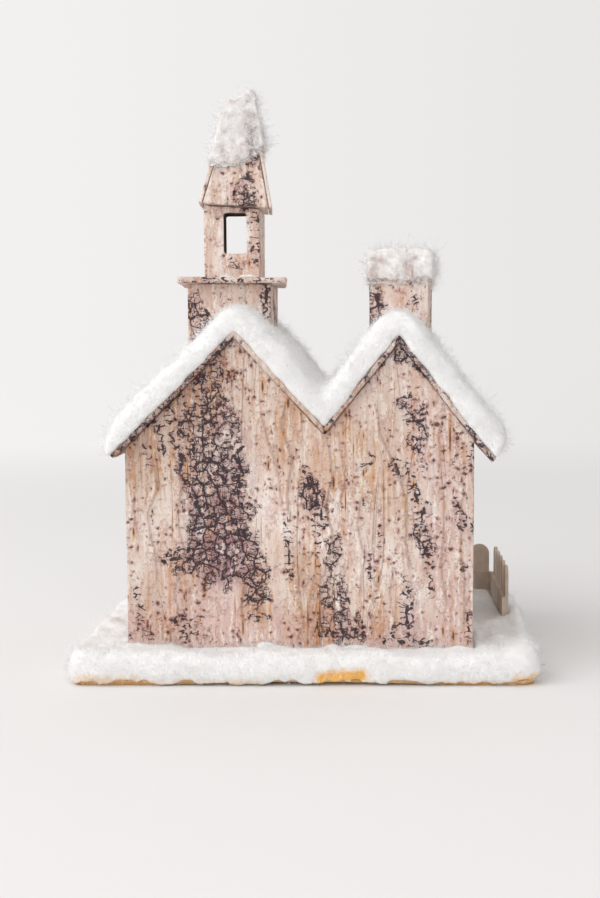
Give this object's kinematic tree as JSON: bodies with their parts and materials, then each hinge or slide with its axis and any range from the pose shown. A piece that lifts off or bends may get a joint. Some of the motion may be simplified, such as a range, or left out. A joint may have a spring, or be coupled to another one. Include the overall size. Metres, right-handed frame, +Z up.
{
  "type": "christmas house",
  "caption": "Cardboard Christmas house with twin gables, a bell tower under a leaning cap, a chimney and a picket fence, covered with bark-print paper and cotton snow.",
  "frame": {"origin": "middle of the base's underside", "axes": "+Z up, -Y towards the plain back that is pictured, +Y towards the door and fence, +X to the right as seen from the back"},
  "size_m": [0.237, 0.18, 0.3021],
  "materials": {
    "bark_paper_card": "matt birch-bark print paper, creased where it is glued, over chipboard",
    "cotton": "loose white cotton wool with mica glitter",
    "bare_board": "bare yellow-orange board edge and underside",
    "trim_card": "plain grey-beige die-cut card",
    "door_card": "painted dark red-brown card",
    "knob": "small brass pin head",
    "cellophane": "amber cellophane film glued behind the openings"
  },
  "bodies": {
    "root": {"base_board": "bare_board", "rear_wall": "bark_paper_card", "front_wall": "bark_paper_card", "left_wall": "bark_paper_card", "right_wall": "bark_paper_card", "front_window_frame": "trim_card", "left_gable_window_frame": "trim_card", "right_gable_window_frame": "trim_card", "left_wall_back_window_frame": "trim_card", "left_wall_front_window_frame": "trim_card", "right_wall_back_window_frame": "trim_card", "right_wall_front_window_frame": "trim_card", "front_window_pane": "cellophane", "left_gable_window_pane": "cellophane", "right_gable_window_pane": "cellophane", "left_wall_pane": "cellophane", "right_wall_pane": "cellophane", "front_door": "door_card", "door_frame": "trim_card", "door_knob": "knob", "left_outer_roof": "bark_paper_card", "left_inner_roof": "bark_paper_card", "right_inner_roof": "bark_paper_card", "right_outer_roof": "bark_paper_card", "tower_rear_wall": "bark_paper_card", "tower_front_wall": "bark_paper_card", "tower_left_wall": "bark_paper_card", "tower_right_wall": "bark_paper_card", "tower_ledge": "bark_paper_card", "belfry_rear_wall": "bark_paper_card", "belfry_front_wall": "bark_paper_card", "belfry_left_wall": "bark_paper_card", "belfry_right_wall": "bark_paper_card", "cap_left_panel": "bark_paper_card", "cap_right_panel": "bark_paper_card", "cap_rear_panel": "bark_paper_card", "cap_front_panel": "bark_paper_card", "cap_seat": "bark_paper_card", "cap_lid": "bark_paper_card", "cap_snow": "cotton", "chimney_rear_wall": "bark_paper_card", "chimney_front_wall": "bark_paper_card", "chimney_left_wall": "bark_paper_card", "chimney_right_wall": "bark_paper_card", "chimney_lid": "bark_paper_card", "chimney_snow": "cotton", "front_right_fence": "trim_card", "front_left_fence": "trim_card", "right_fence": "trim_card", "left_fence": "trim_card", "ground_snow": "cotton", "left_roof_snow": "cotton", "right_roof_snow": "cotton"}
  },
  "joints": []
}
